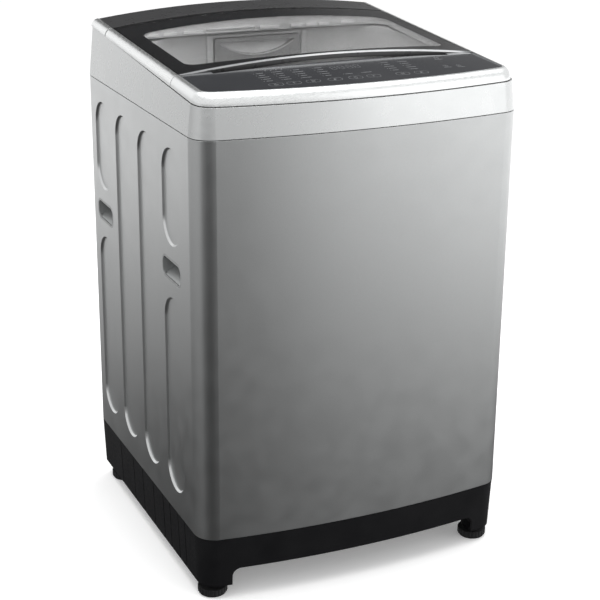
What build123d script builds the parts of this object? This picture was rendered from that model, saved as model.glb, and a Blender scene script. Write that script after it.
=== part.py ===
from build123d import *

import os
from math import atan2, degrees, hypot, sqrt

# ---------------------------------------------------------------- driving dimensions (mm)
# Frame: origin under the middle of the machine on the floor, front towards -Y, +Z up.
HALF_WIDTH = 305.0
FRONT_Y = -302.0
REAR_Y = 302.0
FRONT_BOW = 25.0  # the front corners stand this far behind the middle of the front
FRONT_RADIUS = 40.0
REAR_RADIUS = 6.0

BASE_BOTTOM = 27.0
BASE_TOP = 123.0
KICK_ARCH_TOP = 60.0
WRAP_BOTTOM = BASE_TOP + 0.6
WRAP_TOP = 847.0
WRAP_GAP = 1.3  # shadow gap between the wrap and the band
WRAP_REAR_Y = 300.0
SHEET = 1.5

SEAM_Z = 917.5  # height of the sloped seam between band and trim, over the middle
SEAM_SLOPE = 0.07
SEAM_GAP = 1.3  # shadow gap between band and trim
TRIM_Z = 935.3  # height of the trim's top edge, over the middle
TRIM_SLOPE = 0.058
BAND_INSET = 8.0
GLASS_INSET = 24.0
GLASS_HALF = HALF_WIDTH - GLASS_INSET
CROWN = 18.0  # how far the middle of the top stands above its side edges
CROWN_RADIUS = (GLASS_HALF**2 + CROWN**2) / (2 * CROWN)

PANEL_REAR_Y = -141.5
LID_FRONT_Y = -140.0
LID_REAR_Y = 214.0
DECK_FRONT_Y = 217.0
DECK_REAR_Y = 300.0
DECK_BOW = 6.2  # the deck's front edge steps back in the middle, clear of the turning lid
LID_GLASS = 4.0
HINGE_Y = 206.0
HINGE_Z = 950.5
HINGE_X = 120.0
HINGE_PIN_R = 2.5
RUNNING = 0.05  # radial running clearance of a shaft or pin

WELL_HALF = 258.0
WELL_FRONT_Y = -128.0
WELL_REAR_Y = 168.0
WELL_FLOOR_Z = 862.0
MOUTH_RADIUS = 205.0

DRAWER_X = -10.0
DRAWER_WIDTH = 176.0
DRAWER_LOW_Z = 874.0
DRAWER_HIGH_Z = 921.0

TUB_RADIUS = 262.0
TUB_BOTTOM = 262.0
TUB_TOP = 832.0
DRUM_RADIUS = 245.0
DRUM_BOTTOM = 290.0
PULSATOR_RADIUS = 172.0
WASH_SHAFT_R = 8.0
SPIN_SHAFT_R = 16.0
MOTOR_X = 150.0
MOTOR_Y = 30.0
BIG_PULLEY_R = 70.0
SMALL_PULLEY_R = 16.0
PULLEY_Z = 138.0

ROD_X = 246.0
ROD_Y = 236.0
ROD_R = 3.0
LUG_Z = 272.0
SPRING_CUP_Z = 192.0

FOOT_X = 271.0
FOOT_FRONT_Y = -243.0
FOOT_REAR_Y = 262.0
FOOT_RADIUS = 27.0
FOOT_HEIGHT = 15.0
STUD_R = 5.0

INLET_Z = 900.0
INLET_R = 13.2
HOT_X = 170.0
COLD_X = 225.0
DRAIN_X = -190.0
DRAIN_Z = 165.0
DRAIN_R = 16.0
DRAIN_VALVE = (-150.0, 60.0)
GLAND_X = 230.0
GLAND_Z = 200.0
REAR_MIDDLE_Z = 485.0
SERVICE_Z = 300.0

HANDLE_Z = 590.0
HANDLE_YS = (-151.5, 224.0)
RIB_WIDTH = 88.0
RIB_DEPTH = 3.5
# Each pressed rib: its centre along the side, its bottom and its top.
RIBS = (
    (224.0, 636.0, 808.0),
    (224.0, 168.0, 540.0),
    (102.0, 168.0, 808.0),
    (-25.0, 168.0, 808.0),
    (-155.0, 636.0, 808.0),
    (-155.0, 168.0, 540.0),
)
SKIRT_GROOVE_YS = (179.8, 101.4, 45.0, -17.9, -74.1, -111.6, -155.8, -191.0)
CORNERS = ((-1, -1), (1, -1), (-1, 1), (1, 1))

os.makedirs("parts", exist_ok=True)


def save(part, name):
    """Label a finished piece and write it under its own name."""
    part.label = name
    export_step(part, f"parts/{name}.step")


# ---------------------------------------------------------------- shared shapes
def outline(plane, inset=0.0, back=None):
    """The machine's plan on a plane: bowed front, round front corners, tight rear ones."""
    half = HALF_WIDTH - inset
    front = FRONT_Y + inset
    back = REAR_Y - inset if back is None else back
    with BuildSketch(plane) as plan:
        with BuildLine():
            ThreePointArc((-half, front + FRONT_BOW), (0, front), (half, front + FRONT_BOW))
            Polyline((half, front + FRONT_BOW), (half, back), (-half, back), (-half, front + FRONT_BOW))
        make_face()
        fillet(plan.vertices().sort_by(Axis.Y)[:2], FRONT_RADIUS - 0.9 * inset)
        fillet(plan.vertices().sort_by(Axis.Y)[-2:], max(REAR_RADIUS - inset, 1.0))
    return plan.sketch


def sloped_plane(height, slope):
    """A plane that rises towards the back of the machine."""
    return Plane(origin=(0, 0, height), x_dir=(1, 0, 0), z_dir=(0, -slope, 1))


def level(z):
    return Plane.XY.offset(z)


def side_plane(side, y, z, depth=0.0):
    """On a side wall, looking in: local x runs along the side, local y runs up."""
    return Plane(origin=(side * (HALF_WIDTH - depth), y, z), x_dir=(0, -side, 0), z_dir=(-side, 0, 0))


def crown_height(x):
    """Height of the crowned top above its own side edge."""
    return CROWN - (CROWN_RADIUS - sqrt(CROWN_RADIUS**2 - x**2))


def edge_height(y):
    return TRIM_Z + TRIM_SLOPE * y


def crown_slab(y_front, y_rear, half, top_drop, bottom_drop):
    """A slab under the crowned top, between two depths below its surface."""
    base = edge_height(y_front)
    side = crown_height(half)
    with BuildPart() as slab:
        with BuildSketch(Plane.XZ.offset(-y_front)) as profile:
            with BuildLine():
                ThreePointArc(
                    (-half, base + side - top_drop), (0, base + CROWN - top_drop), (half, base + side - top_drop)
                )
                Line((half, base + side - top_drop), (half, base + side - bottom_drop))
                ThreePointArc(
                    (half, base + side - bottom_drop),
                    (0, base + CROWN - bottom_drop),
                    (-half, base + side - bottom_drop),
                )
                Line((-half, base + side - bottom_drop), (-half, base + side - top_drop))
            make_face()
        run = y_rear - y_front
        extrude(profile.sketch, amount=run * sqrt(1 + TRIM_SLOPE**2), dir=(0, 1, TRIM_SLOPE))
    return slab.part


def window_outline(grow=0.0):
    """The lid's window: bowed front and rear edges and round corners."""
    half = 250.0 + grow
    with BuildSketch(level(850)) as window:
        with BuildLine():
            ThreePointArc((-half, -96 - grow), (0, -126 - grow), (half, -96 - grow))
            Line((half, -96 - grow), (half, 150 + grow))
            ThreePointArc((half, 150 + grow), (0, 157 + grow), (-half, 150 + grow))
            Line((-half, 150 + grow), (-half, -96 - grow))
        make_face()
        fillet(window.vertices(), 27.0)
    return window.sketch


def well_outline(plane, grow=0.0):
    """Plan of the inner well under the lid."""
    with BuildSketch(plane) as well:
        with Locations((0, (WELL_FRONT_Y + WELL_REAR_Y) / 2)):
            RectangleRounded(2 * (WELL_HALF + grow), WELL_REAR_Y - WELL_FRONT_Y + 2 * grow, 90 + grow)
    return well.sketch


# ---------------------------------------------------------------- base and feet
with BuildPart() as base_frame:
    loft([outline(level(BASE_BOTTOM), 4.5), outline(level(BASE_TOP), 0.6)], ruled=True)
    loft(
        [outline(level(BASE_BOTTOM - 1), 9.0), outline(level(BASE_TOP + 1), 5.6)],
        ruled=True,
        mode=Mode.SUBTRACT,
    )
    # The upstand that locates the steel wrap, and the ledge under it.
    extrude(outline(level(BASE_TOP - 8), 2.4, WRAP_REAR_Y - 3.6), amount=22)
    extrude(outline(level(BASE_TOP - 12), 6.4, WRAP_REAR_Y - 7.6), amount=30, mode=Mode.SUBTRACT)
    # The corner floors that carry the feet.
    with BuildSketch(level(44)):
        add(outline(Plane.XY, 6.5))
        Rectangle(2 * (HALF_WIDTH - 100), 700, mode=Mode.SUBTRACT)
        Rectangle(700, 2 * 185, mode=Mode.SUBTRACT)
    extrude(amount=6)
    for foot_y in (FOOT_FRONT_Y, FOOT_REAR_Y):
        for foot_x in (-FOOT_X, FOOT_X):
            with BuildSketch(Plane((foot_x, foot_y, 21))):
                Circle(20)
            with BuildSketch(Plane((foot_x, foot_y, 46))):
                Circle(26)
            loft()
            with BuildSketch(Plane((foot_x, foot_y, 45))):
                Circle(14)
            extrude(amount=33)
            with BuildSketch(Plane((foot_x, foot_y, 20))):
                Circle(STUD_R + RUNNING)
            extrude(amount=70, mode=Mode.SUBTRACT)
    # The front kick arch.
    with BuildSketch(Plane.XZ.offset(240)):
        with Locations((0, BASE_BOTTOM - 30)):
            RectangleRounded(2 * 247, 2 * (KICK_ARCH_TOP - BASE_BOTTOM + 30), 16)
    extrude(amount=100, mode=Mode.SUBTRACT)
    # Upright grooves along both side skirts, leaning with the wall.
    for side in (-1, 1):
        for groove_y in SKIRT_GROOVE_YS:
            with BuildSketch(level(BASE_BOTTOM - 1)):
                with Locations((side * (HALF_WIDTH - 4.5), groove_y)):
                    Rectangle(2.4, 2.6)
            with BuildSketch(level(BASE_TOP)):
                with Locations((side * (HALF_WIDTH - 0.6), groove_y)):
                    Rectangle(2.4, 2.6)
            loft(mode=Mode.SUBTRACT)
save(base_frame.part, "base_frame")

with BuildPart() as bottom_guard:
    extrude(outline(level(70), 12.0), amount=2.5)
    with BuildSketch(level(69)):
        for x_side, y_side in CORNERS:
            with Locations((x_side * 300, y_side * 290)):
                Rectangle(230, 250)
        with GridLocations(34, 58, 11, 5):
            SlotOverall(48, 16, rotation=90)
    extrude(amount=5, mode=Mode.SUBTRACT)
save(bottom_guard.part, "bottom_guard")

FEET = {
    "front_left": (-FOOT_X, FOOT_FRONT_Y),
    "front_right": (FOOT_X, FOOT_FRONT_Y),
    "rear_left": (-FOOT_X, FOOT_REAR_Y),
    "rear_right": (FOOT_X, FOOT_REAR_Y),
}
for corner, (foot_x, foot_y) in FEET.items():
    with BuildPart() as foot:
        # A scalloped grip rim over a plain pad, on a threaded stud.
        with BuildSketch(Plane((foot_x, foot_y, 4))):
            Circle(FOOT_RADIUS)
            with PolarLocations(FOOT_RADIUS + 1.2, 24):
                Circle(2.4, mode=Mode.SUBTRACT)
        extrude(amount=FOOT_HEIGHT - 4)
        with BuildSketch(Plane((foot_x, foot_y, 0))):
            Circle(FOOT_RADIUS - 3)
        extrude(amount=5)
        with BuildSketch(Plane((foot_x, foot_y, FOOT_HEIGHT - 1))):
            Circle(11)
        extrude(amount=5)
        with BuildSketch(Plane((foot_x, foot_y, FOOT_HEIGHT))):
            Circle(STUD_R)
        extrude(amount=72)
        chamfer(foot.faces().sort_by(Axis.Z)[-1].edges(), 1.0)
    save(foot.part, f"foot_{corner}")

# ---------------------------------------------------------------- steel wrap, handles, rear
with BuildPart() as cabinet_wrap:
    height = WRAP_TOP - WRAP_GAP - WRAP_BOTTOM
    extrude(outline(level(WRAP_BOTTOM), 0.0, WRAP_REAR_Y), amount=height)
    extrude(outline(level(WRAP_BOTTOM - 1), SHEET, WRAP_REAR_Y - SHEET), amount=height + 1 - SHEET, mode=Mode.SUBTRACT)
    # The turned-in top flange; the bottom is open over the base's upstand.
    extrude(outline(level(WRAP_TOP - 10), 16.0), amount=20, mode=Mode.SUBTRACT)
    # The back is open between two upright flanges.
    with BuildSketch(level(WRAP_BOTTOM - 1)):
        with Locations((0, WRAP_REAR_Y)):
            Rectangle(2 * (HALF_WIDTH - 18), 20)
    extrude(amount=height + 5, mode=Mode.SUBTRACT)
    for side in (-1, 1):
        for rib_y, rib_low, rib_high in RIBS:
            middle = (rib_low + rib_high) / 2
            with BuildSketch(side_plane(side, rib_y, middle, 0.6)):
                SlotOverall(rib_high - rib_low + 2.6, RIB_WIDTH + 2.6, rotation=90)
            extrude(amount=RIB_DEPTH + SHEET - 0.6, taper=40)
            with BuildSketch(side_plane(side, rib_y, middle)):
                SlotOverall(rib_high - rib_low, RIB_WIDTH, rotation=90)
            extrude(amount=RIB_DEPTH, taper=40, mode=Mode.SUBTRACT)
        for handle_y in HANDLE_YS:
            with BuildSketch(side_plane(side, handle_y, HANDLE_Z, -1)):
                RectangleRounded(96, 42, 16)
            extrude(amount=5, mode=Mode.SUBTRACT)
save(cabinet_wrap.part, "cabinet_wrap")

for side, name in ((-1, "left_handles"), (1, "right_handles")):
    with BuildPart() as handles:
        for handle_y in HANDLE_YS:
            with BuildSketch(side_plane(side, handle_y, HANDLE_Z)):
                RectangleRounded(95.4, 41.4, 15.7)
            extrude(amount=4)
            with BuildSketch(side_plane(side, handle_y, HANDLE_Z, 2.0)):
                with Locations((0, 10)):
                    Rectangle(91, 60)
            extrude(amount=40)
            with BuildSketch(side_plane(side, handle_y, HANDLE_Z, 4.0)):
                with Locations((0, 10)):
                    Rectangle(87, 56)
            extrude(amount=36, mode=Mode.SUBTRACT)
            with BuildSketch(side_plane(side, handle_y, HANDLE_Z)):
                RectangleRounded(88, 34, 12.5)
            extrude(amount=6, mode=Mode.SUBTRACT)
            # The sloped floor of the grip.
            wedge_plane = Plane(
                origin=(side * HALF_WIDTH, handle_y - side * 43.6, HANDLE_Z), x_dir=(-side, 0, 0), z_dir=(0, side, 0)
            )
            with BuildSketch(wedge_plane):
                with BuildLine():
                    Polyline((3, -18.2), (41, -18.2), (41, 4), (3, -17), close=True)
                make_face()
            extrude(amount=87.2)
    save(handles.part, name)

with BuildPart() as rear_cover:
    with BuildSketch(Plane.XZ.offset(-298.2)):
        with Locations((0, REAR_MIDDLE_Z)):
            Rectangle(2 * (HALF_WIDTH - 6), 716)
        with Locations((0, SERVICE_Z)):
            RectangleRounded(300, 240, 12, mode=Mode.SUBTRACT)
        with Locations((-90, 780), (0, 780), (90, 780)):
            with GridLocations(0, 12, 1, 4):
                SlotOverall(70, 5, mode=Mode.SUBTRACT)
        with Locations((DRAIN_X, DRAIN_Z)):
            Circle(DRAIN_R + 2, mode=Mode.SUBTRACT)
        with Locations((GLAND_X, GLAND_Z)):
            Circle(9, mode=Mode.SUBTRACT)
    extrude(amount=1.2)
    # Pressed stiffening beads, standing out of the sheet.
    with BuildSketch(Plane.XZ.offset(-298.1)):
        with Locations((0, 500), (0, 580), (0, 660)):
            SlotOverall(460, 26)
    extrude(amount=-1.7, taper=30)
    with BuildSketch(Plane.XZ.offset(-296.9)):
        with Locations((0, 500), (0, 580), (0, 660)):
            SlotOverall(456, 22)
    extrude(amount=-1.7, taper=30, mode=Mode.SUBTRACT)
save(rear_cover.part, "rear_cover")

with BuildPart() as rear_service_cover:
    with BuildSketch(Plane.XZ.offset(-299.6)):
        with Locations((0, SERVICE_Z)):
            RectangleRounded(330, 270, 16)
            with GridLocations(0, 16, 1, 6):
                SlotOverall(180, 6, mode=Mode.SUBTRACT)
    extrude(amount=1.2)
save(rear_service_cover.part, "rear_service_cover")

with BuildPart() as rear_screws:
    with BuildSketch(Plane.XZ.offset(-299.7)):
        with Locations((0, SERVICE_Z)):
            with GridLocations(310, 125, 2, 3):
                Circle(4.5)
        with Locations((0, REAR_MIDDLE_Z)):
            with GridLocations(540, 170, 2, 5):
                Circle(4.5)
    extrude(amount=-1.8)
    fillet(rear_screws.faces().filter_by(Axis.Y).group_by(Axis.Y)[-1].edges(), 0.8)
    # The cross recesses for the driver.
    with BuildSketch(Plane.XZ.offset(-301.6)):
        with Locations((0, SERVICE_Z)):
            with GridLocations(310, 125, 2, 3):
                Rectangle(4.8, 1.1)
                Rectangle(1.1, 4.8)
        with Locations((0, REAR_MIDDLE_Z)):
            with GridLocations(540, 170, 2, 5):
                Rectangle(4.8, 1.1)
                Rectangle(1.1, 4.8)
    extrude(amount=1.2, mode=Mode.SUBTRACT)
save(rear_screws.part, "rear_screws")

# The drain spout goes through the rear cover, so its flange sits on the cover's back.
with BuildPart() as drain_outlet:
    with BuildSketch(Plane((DRAIN_X, WRAP_REAR_Y - 1.2, DRAIN_Z), z_dir=(0, -1, 0))):
        Circle(26)
    extrude(amount=-1.2)
    with BuildSketch(Plane((DRAIN_X, WRAP_REAR_Y + 1.0, DRAIN_Z), z_dir=(0, -1, 0))):
        Circle(DRAIN_R)
    extrude(amount=60)
    with BuildSketch(Plane((DRAIN_X, WRAP_REAR_Y + 2.0, DRAIN_Z), z_dir=(0, -1, 0))):
        Circle(DRAIN_R - 3)
    extrude(amount=70, mode=Mode.SUBTRACT)
save(drain_outlet.part, "drain_outlet")

with BuildPart() as power_gland:
    gland_plane = Plane((GLAND_X, 299.9, GLAND_Z), z_dir=(0, -1, 0))
    with BuildSketch(gland_plane):
        RegularPolygon(13, 6)
    extrude(amount=1.6)
    with BuildSketch(Plane((GLAND_X, 301.9, GLAND_Z), z_dir=(0, -1, 0))):
        Circle(10)
    extrude(amount=2)
    with BuildSketch(gland_plane):
        Circle(8.7)
    extrude(amount=14)
    with BuildSketch(Plane((GLAND_X, 303, GLAND_Z), z_dir=(0, -1, 0))):
        Circle(4.5)
    extrude(amount=30, mode=Mode.SUBTRACT)
save(power_gland.part, "power_gland")

# ---------------------------------------------------------------- top cover band and liner
seam_plane = sloped_plane(SEAM_Z, SEAM_SLOPE)
with BuildPart() as top_cover:
    loft([outline(level(WRAP_TOP), 0.0), outline(level(950), 11.8, REAR_Y - 0.1)], ruled=True)
    loft(
        [outline(level(WRAP_TOP - 1), 3.0, REAR_Y - 3), outline(level(951), 14.8, REAR_Y - 3.1)],
        ruled=True,
        mode=Mode.SUBTRACT,
    )
    # The foot flange that screws down on the wrap.
    extrude(outline(level(WRAP_TOP), 1.0), amount=3)
    extrude(outline(level(WRAP_TOP - 1), 15.0), amount=5, mode=Mode.SUBTRACT)
    # The rear opening round the water inlets.
    with BuildSketch(Plane.XZ.offset(-310)):
        with Locations(((HOT_X + COLD_X) / 2, INLET_Z)):
            RectangleRounded(112, 46, 8)
    extrude(amount=30, mode=Mode.SUBTRACT)
    split(bisect_by=seam_plane, keep=Keep.BOTTOM)
save(top_cover.part, "top_cover")

well_top_plane = sloped_plane(SEAM_Z - 3.6, SEAM_SLOPE)
with BuildPart() as opening_liner:
    # The sloped deck under the lid.
    extrude(outline(well_top_plane, 14.0, 296.0), amount=3.0)
    # The well's walls, down to its floor.
    extrude(well_outline(level(WELL_FLOOR_Z - 3), 3.0), amount=90)
    extrude(well_outline(level(WELL_FLOOR_Z), 0.0), amount=90, mode=Mode.SUBTRACT)
    split(bisect_by=sloped_plane(SEAM_Z - 0.6, SEAM_SLOPE), keep=Keep.BOTTOM)
    # The mouth over the tub.
    with BuildSketch(level(840)):
        Circle(MOUTH_RADIUS)
    extrude(amount=WELL_FLOOR_Z + 2 - 840, mode=Mode.SUBTRACT)
    # The doorway of the detergent drawer.
    with BuildSketch(Plane.XZ.offset(-WELL_REAR_Y + 1)):
        with Locations((DRAWER_X, (DRAWER_LOW_Z + DRAWER_HIGH_Z) / 2)):
            RectangleRounded(DRAWER_WIDTH + 1.4, DRAWER_HIGH_Z - DRAWER_LOW_Z + 1.4, 4.5)
    extrude(amount=-6, mode=Mode.SUBTRACT)
save(opening_liner.part, "opening_liner")

with BuildPart() as dispenser_housing:
    with BuildSketch(Plane.XZ.offset(-(WELL_REAR_Y + 3.2))):
        with Locations((DRAWER_X, (DRAWER_LOW_Z + DRAWER_HIGH_Z) / 2)):
            RectangleRounded(DRAWER_WIDTH + 8, DRAWER_HIGH_Z - DRAWER_LOW_Z + 7.4, 5)
    extrude(amount=-106)
    with BuildSketch(Plane.XZ.offset(-(WELL_REAR_Y + 3.0))):
        with Locations((DRAWER_X, (DRAWER_LOW_Z + DRAWER_HIGH_Z) / 2)):
            RectangleRounded(DRAWER_WIDTH + 3, DRAWER_HIGH_Z - DRAWER_LOW_Z + 2.4, 3)
    extrude(amount=-103, mode=Mode.SUBTRACT)
    # The water shower holes in the roof of the housing.
    with BuildSketch(level(DRAWER_HIGH_Z - 6)):
        with Locations((DRAWER_X, WELL_REAR_Y + 55)):
            with GridLocations(16, 16, 8, 4):
                Circle(2)
    extrude(amount=12, mode=Mode.SUBTRACT)
save(dispenser_housing.part, "dispenser_housing")

with BuildPart() as drawer_front:
    with BuildSketch(Plane.XZ.offset(-(WELL_REAR_Y - 3))):
        with Locations((DRAWER_X, (DRAWER_LOW_Z + DRAWER_HIGH_Z) / 2)):
            RectangleRounded(DRAWER_WIDTH, DRAWER_HIGH_Z - DRAWER_LOW_Z, 4)
    extrude(amount=-11)
    # The half-moon grip.
    with BuildSketch(Plane.XZ.offset(-(WELL_REAR_Y - 4))):
        with BuildLine():
            ThreePointArc((DRAWER_X - 78, 912.5), (DRAWER_X, 887), (DRAWER_X + 78, 912.5))
            Line((DRAWER_X + 78, 912.5), (DRAWER_X - 78, 912.5))
        make_face()
    extrude(amount=-9.5, mode=Mode.SUBTRACT)
save(drawer_front.part, "drawer_front")

with BuildPart() as drawer_tray:
    tray_low = DRAWER_LOW_Z + 3
    with BuildSketch(level(tray_low)):
        with Locations((DRAWER_X, WELL_REAR_Y + 8 + 46)):
            RectangleRounded(DRAWER_WIDTH - 6, 92, 6)
    extrude(amount=36)
    with BuildSketch(level(tray_low + 2)):
        with Locations((DRAWER_X - 30, WELL_REAR_Y + 8 + 46)):
            RectangleRounded(DRAWER_WIDTH - 70, 88, 5)
        with Locations((DRAWER_X + 54, WELL_REAR_Y + 8 + 46)):
            RectangleRounded(58, 88, 5)
    extrude(amount=40, mode=Mode.SUBTRACT)
save(drawer_tray.part, "drawer_tray")

with BuildPart() as inlet_valves:
    for inlet_x in (HOT_X, COLD_X):
        with BuildSketch(Plane((inlet_x, 300, INLET_Z), z_dir=(0, -1, 0))):
            Circle(INLET_R)
        extrude(amount=16)
        with BuildSketch(Plane((inlet_x, 286, INLET_Z), z_dir=(0, -1, 0))):
            RectangleRounded(48, 38, 5)
        extrude(amount=26)
        with BuildSketch(Plane((inlet_x, 262, INLET_Z), z_dir=(0, -1, 0))):
            Circle(15)
        extrude(amount=30)
        with BuildSketch(Plane((inlet_x, 301, INLET_Z), z_dir=(0, -1, 0))):
            Circle(8)
        extrude(amount=12, mode=Mode.SUBTRACT)
save(inlet_valves.part, "inlet_valves")


# ---------------------------------------------------------------- silver trim round the top
def trim_level(share, inset):
    """One section of the trim, part of the way from the seam to the glass."""
    bottom = SEAM_Z + SEAM_GAP
    height = bottom + (TRIM_Z - bottom) * share
    slope = SEAM_SLOPE + (TRIM_SLOPE - SEAM_SLOPE) * share
    return outline(sloped_plane(height, slope), inset, REAR_Y)


with BuildPart() as trim_ring:
    loft(
        [
            trim_level(0.0, BAND_INSET),
            trim_level(0.45, BAND_INSET + 1.8),
            trim_level(0.8, BAND_INSET + 6.0),
            trim_level(1.0, GLASS_INSET - 2.0),
        ]
    )
    extrude(outline(level(880), GLASS_INSET - 1.0), amount=100, mode=Mode.SUBTRACT)
    # No trim along the back: the deck runs out to the rear.
    with BuildSketch(level(880)):
        with Locations((0, 300)):
            Rectangle(2 * GLASS_HALF + 2, 160)
    extrude(amount=110, mode=Mode.SUBTRACT)


def trim_piece(y_low, y_high):
    """The stretch of the trim ring between two stations."""
    with BuildPart() as piece:
        add(trim_ring.part)
        with BuildSketch(level(880)):
            with Locations((0, (y_low + y_high) / 2)):
                Rectangle(700, y_high - y_low)
        extrude(amount=110, mode=Mode.INTERSECT)
    return piece.part


save(trim_piece(-320, PANEL_REAR_Y), "front_trim")
save(trim_piece(LID_FRONT_Y, LID_REAR_Y - 1), "lid_strips")
save(trim_piece(DECK_FRONT_Y - 0.5, 320), "rear_trims")

with BuildPart() as panel_bezel:
    extrude(outline(sloped_plane(TRIM_Z - 5, TRIM_SLOPE), GLASS_INSET - 0.8), amount=5.3)
    extrude(outline(sloped_plane(TRIM_Z - 7, TRIM_SLOPE), GLASS_INSET + 0.8), amount=10, mode=Mode.SUBTRACT)
    with BuildSketch(level(860)):
        with Locations((0, PANEL_REAR_Y + 300)):
            Rectangle(700, 600)
    extrude(amount=130, mode=Mode.SUBTRACT)
save(panel_bezel.part, "panel_bezel")


# ---------------------------------------------------------------- control panel
def panel_section(y, crown, drop, thick):
    """A cross-section of the panel glass at one station, a thin crowned strip."""
    edge = edge_height(y) - drop
    half = GLASS_HALF - 1.1
    with BuildSketch(Plane.XZ.offset(-y)) as section:
        with BuildLine():
            ThreePointArc((-half, edge), (0, edge + crown), (half, edge))
            Line((half, edge), (half, edge - thick))
            ThreePointArc((half, edge - thick), (0, edge + crown - thick), (-half, edge - thick))
            Line((-half, edge - thick), (-half, edge))
        make_face()
    return section.sketch


with BuildPart() as panel_glass:
    loft([panel_section(-290, 1.0, 0.4, 3.0), panel_section(PANEL_REAR_Y, 9.0, 1.4, 3.0)], ruled=True)
    extrude(outline(level(880), GLASS_INSET + 1.1), amount=90, mode=Mode.INTERSECT)
    # The finger scoop in front of the lid.
    with BuildSketch(Plane.XZ.offset(-PANEL_REAR_Y)):
        with Locations((0, 935)):
            Rectangle(450, 60)
    extrude(amount=13, mode=Mode.SUBTRACT)
save(panel_glass.part, "panel_glass")

with BuildPart() as control_housing:
    # A tray under the glass that also forms the bottom of the finger scoop.
    loft([panel_section(-290, 1.0, 3.6, 3.0), panel_section(PANEL_REAR_Y, 9.0, 4.6, 3.0)], ruled=True)
    extrude(outline(level(880), GLASS_INSET + 1.3), amount=90, mode=Mode.INTERSECT)
    with BuildSketch(Plane.XZ.offset(-PANEL_REAR_Y)):
        with Locations((0, 935)):
            Rectangle(450, 60)
    extrude(amount=13, mode=Mode.SUBTRACT)
    with BuildSketch(sloped_plane(SEAM_Z + 0.2, SEAM_SLOPE)):
        with Locations((0, PANEL_REAR_Y - 8)):
            Rectangle(454, 15)
    extrude(amount=4.4)
    # The wall behind the scoop, up to the tray's skin.
    with BuildPart(mode=Mode.PRIVATE) as scoop_wall:
        with BuildSketch(sloped_plane(SEAM_Z + 0.2, SEAM_SLOPE)):
            with Locations((0, PANEL_REAR_Y - 14.3)):
                Rectangle(454, 1.6)
        extrude(amount=40)
        loft(
            [panel_section(-290, 1.0, 4.0, 60.0), panel_section(PANEL_REAR_Y, 9.0, 5.0, 60.0)],
            ruled=True,
            mode=Mode.INTERSECT,
        )
    add(scoop_wall.part)
    with BuildSketch(level(912)):
        with Locations((0, -200)):
            Rectangle(440, 4)
    extrude(amount=9)
save(control_housing.part, "control_housing")

with BuildPart() as control_board:
    with BuildSketch(sloped_plane(SEAM_Z + 1.2, SEAM_SLOPE)):
        with Locations((0, -230)):
            Rectangle(380, 52)
    extrude(amount=1.6)
    with BuildSketch(sloped_plane(SEAM_Z + 2.6, SEAM_SLOPE)):
        with Locations((-120, -230), (-60, -228), (60, -222), (130, -236)):
            Rectangle(22, 16)
    extrude(amount=4)
save(control_board.part, "control_board")

with BuildPart() as display_module:
    with BuildSketch(sloped_plane(SEAM_Z + 3.0, SEAM_SLOPE)):
        with Locations((6, -234)):
            Rectangle(62, 26)
    extrude(amount=8)
save(display_module.part, "display_module")

# ---------------------------------------------------------------- rear deck
with BuildPart() as rear_deck:
    add(crown_slab(200, DECK_REAR_Y, GLASS_HALF - 0.4, 0.0, 50.0))
    split(bisect_by=sloped_plane(SEAM_Z + 0.4, SEAM_SLOPE), keep=Keep.TOP)
    # The front edge is bowed so that the opening lid clears it.
    with BuildSketch(level(900)):
        with BuildLine():
            ThreePointArc((-320, DECK_FRONT_Y), (0, DECK_FRONT_Y + DECK_BOW), (320, DECK_FRONT_Y))
            Polyline((320, DECK_FRONT_Y), (320, 150), (-320, 150), (-320, DECK_FRONT_Y))
        make_face()
    extrude(amount=90, mode=Mode.SUBTRACT)
    with BuildSketch(Plane.XZ.offset(-DECK_REAR_Y)):
        with Locations((0, 1010)):
            Rectangle(600, 20)
    extrude(amount=5, mode=Mode.SUBTRACT)
    add(crown_slab(225, DECK_REAR_Y - 3, GLASS_HALF - 3.4, 3.0, 60.0), mode=Mode.SUBTRACT)
save(rear_deck.part, "rear_deck")

# ---------------------------------------------------------------- lid
LID_HALF = GLASS_HALF - 0.6
with BuildPart() as lid_glass:
    add(crown_slab(LID_FRONT_Y + 4.0, LID_REAR_Y, LID_HALF, 0.0, LID_GLASS))
    fillet(lid_glass.edges().filter_by(GeomType.CIRCLE).group_by(Axis.Y)[-1].sort_by(Axis.Z)[-1], 3.4)
save(lid_glass.part, "lid_glass")

with BuildPart() as lid_border:
    add(crown_slab(LID_FRONT_Y + 4.0, LID_REAR_Y - 1, LID_HALF, LID_GLASS + 0.1, LID_GLASS + 1.3))
    extrude(window_outline(), amount=150, mode=Mode.SUBTRACT)
save(lid_border.part, "lid_border")


def finger_gap_outline():
    """The arched gap under the lid's front lip, drawn on an upright plane."""
    with BuildSketch(Plane.XY) as gap:
        with BuildLine():
            ThreePointArc((-222, 918), (0, edge_height(LID_FRONT_Y) + CROWN - 10), (222, 918))
            Polyline((222, 918), (222, 900), (-222, 900), (-222, 918))
        make_face()
    return gap.sketch


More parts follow.
